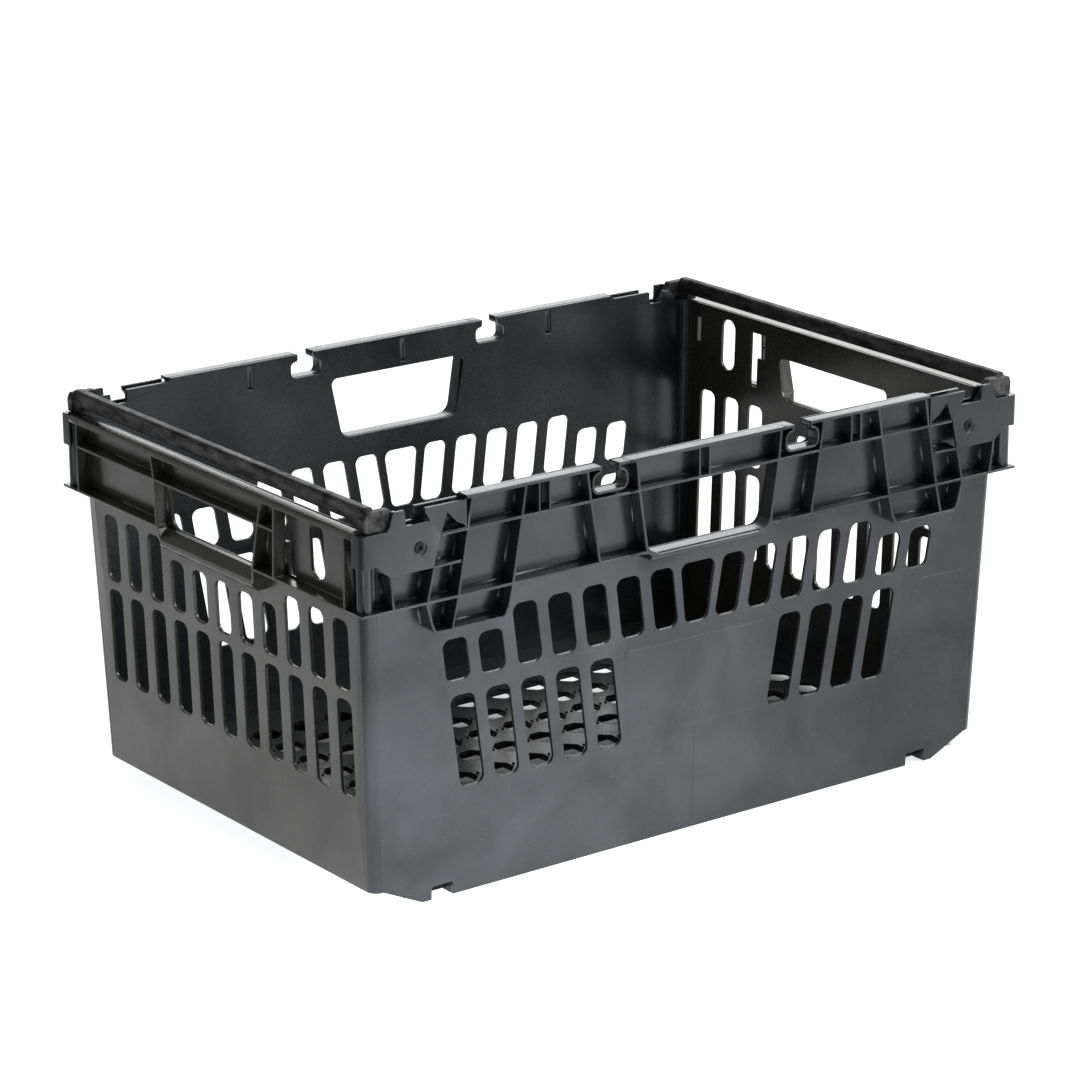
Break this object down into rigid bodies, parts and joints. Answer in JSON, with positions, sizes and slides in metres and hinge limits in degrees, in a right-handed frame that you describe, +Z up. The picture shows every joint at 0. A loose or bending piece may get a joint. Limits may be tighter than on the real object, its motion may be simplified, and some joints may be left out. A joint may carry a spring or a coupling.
{
  "type": "bale arm stacking tray",
  "caption": "Open-topped ventilated plastic tray with a ribbed rim, hand holes on every side and two swing-over bale arms for stacking or nesting.",
  "frame": {"origin": "centre of the base's underside, on the surface the tray stands on", "axes": "+X along the 600 mm length, +Y along the 400 mm width, +Z up; the long sides face -Y (front) and +Y (back), the ends -X (left) and +X (right)"},
  "size_m": [0.6, 0.4, 0.3035],
  "materials": {
    "tray_plastic": "satin moulded, charcoal black recycled polypropylene",
    "arm_plastic": "rough mottled black",
    "pin_plastic": "satin black"
  },
  "bodies": {
    "tray": {"front_wall": "tray_plastic", "back_wall": "tray_plastic", "left_end_wall": "tray_plastic", "right_end_wall": "tray_plastic", "front_left_post": "tray_plastic", "front_right_post": "tray_plastic", "back_left_post": "tray_plastic", "back_right_post": "tray_plastic", "front_left_rim": "tray_plastic", "front_hand_hold": "tray_plastic", "front_right_rim": "tray_plastic", "back_left_rim": "tray_plastic", "back_hand_hold": "tray_plastic", "back_right_rim": "tray_plastic", "left_end_rim": "tray_plastic", "right_end_rim": "tray_plastic", "front_left_corner": "tray_plastic", "front_right_corner": "tray_plastic", "back_left_corner": "tray_plastic", "back_right_corner": "tray_plastic", "floor_grid": "tray_plastic", "front_skid": "tray_plastic", "back_skid": "tray_plastic"},
    "left_bale_arm": {"left_bale_arm": "arm_plastic", "left_front_pin": "pin_plastic", "left_back_pin": "pin_plastic"},
    "right_bale_arm": {"right_bale_arm": "arm_plastic", "right_front_pin": "pin_plastic", "right_back_pin": "pin_plastic"}
  },
  "joints": [
    {"name": "left_arm_swing", "type": "hinge", "parent": "tray", "child": "left_bale_arm", "pos_m": [-0.2514, 0, 0.2699], "axis": [0, 1, 0], "range_deg": [0, 99]},
    {"name": "right_arm_swing", "type": "hinge", "parent": "tray", "child": "right_bale_arm", "pos_m": [0.2514, 0, 0.2699], "axis": [0, -1, 0], "range_deg": [0, 99]}
  ]
}
